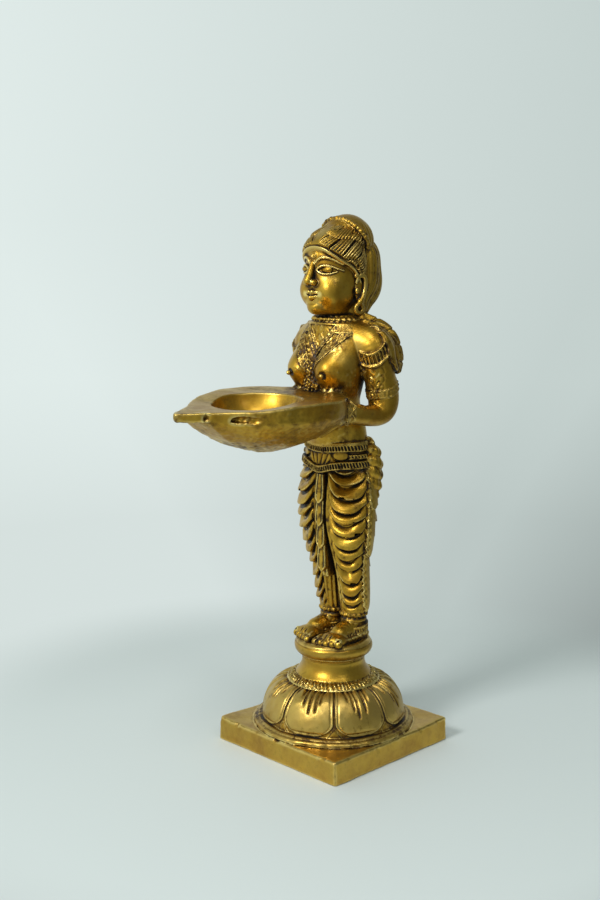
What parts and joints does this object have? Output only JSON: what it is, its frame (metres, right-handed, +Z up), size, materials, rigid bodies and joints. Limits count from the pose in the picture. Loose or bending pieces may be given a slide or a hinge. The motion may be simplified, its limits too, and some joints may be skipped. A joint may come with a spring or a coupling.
{
  "type": "deepalakshmi lamp",
  "caption": "Cast brass oil lamp: a standing lamp bearer on a lotus pedestal and a square plate holds a leaf-shaped dish with a bowl and a pointed spout.",
  "frame": {"origin": "centre of the plinth's underside", "axes": "+Z up the lamp, the figure faces -Y with the dish's spout, +X at the figure's left hand"},
  "size_m": [0.0636, 0.1102, 0.2069],
  "materials": {
    "plate_brass": "brushed flat faces, light handling wear",
    "turned_brass": "turned and polished, dark in the grooves",
    "lotus_brass": "cast and chased, polished on the high places",
    "fitting_brass": "plain machined",
    "dish_brass": "cast outside with small pits, turned bright bowl",
    "hair_brass": "cast with fine chased lines, dark in the lines",
    "cloth_brass": "cast with chased folds, dark in the folds",
    "ornament_brass": "cast with chased ribs and beads, dark in the grooves",
    "skin_brass": "cast and polished, brown in the hollows"
  },
  "bodies": {
    "root": {"plinth": "plate_brass", "lotus_base": "lotus_brass", "lotus_petals": "lotus_brass", "rope_collar": "turned_brass", "pedestal_neck": "turned_brass", "foot_disc": "turned_brass", "tie_rod": "fitting_brass", "base_washer": "fitting_brass", "base_nut": "fitting_brass", "foot_left": "skin_brass", "foot_right": "skin_brass", "anklet_left": "ornament_brass", "anklet_right": "ornament_brass", "draped_legs": "cloth_brass", "front_sash": "cloth_brass", "side_sash_left": "cloth_brass", "side_sash_right": "cloth_brass", "hip_bow_left": "cloth_brass", "hip_bow_right": "cloth_brass", "hip_girdle": "ornament_brass", "waist_belt": "ornament_brass", "torso": "skin_brass", "neck_band": "ornament_brass", "chest_necklace": "ornament_brass", "arm_left": "skin_brass", "arm_right": "skin_brass", "armlet_left": "ornament_brass", "armlet_right": "ornament_brass", "elbow_band_left": "ornament_brass", "elbow_band_right": "ornament_brass", "shoulder_tassel_left": "ornament_brass", "shoulder_tassel_right": "ornament_brass", "bangle_left": "ornament_brass", "bangle_right": "ornament_brass", "hand_left": "skin_brass", "hand_right": "skin_brass", "lamp_dish": "dish_brass", "head": "skin_brass", "front_hair": "hair_brass", "crown_bun": "hair_brass", "nape_bun": "hair_brass", "bead_string": "hair_brass", "ear_left": "skin_brass", "ear_right": "skin_brass", "earring_left": "ornament_brass", "earring_right": "ornament_brass"}
  },
  "joints": []
}
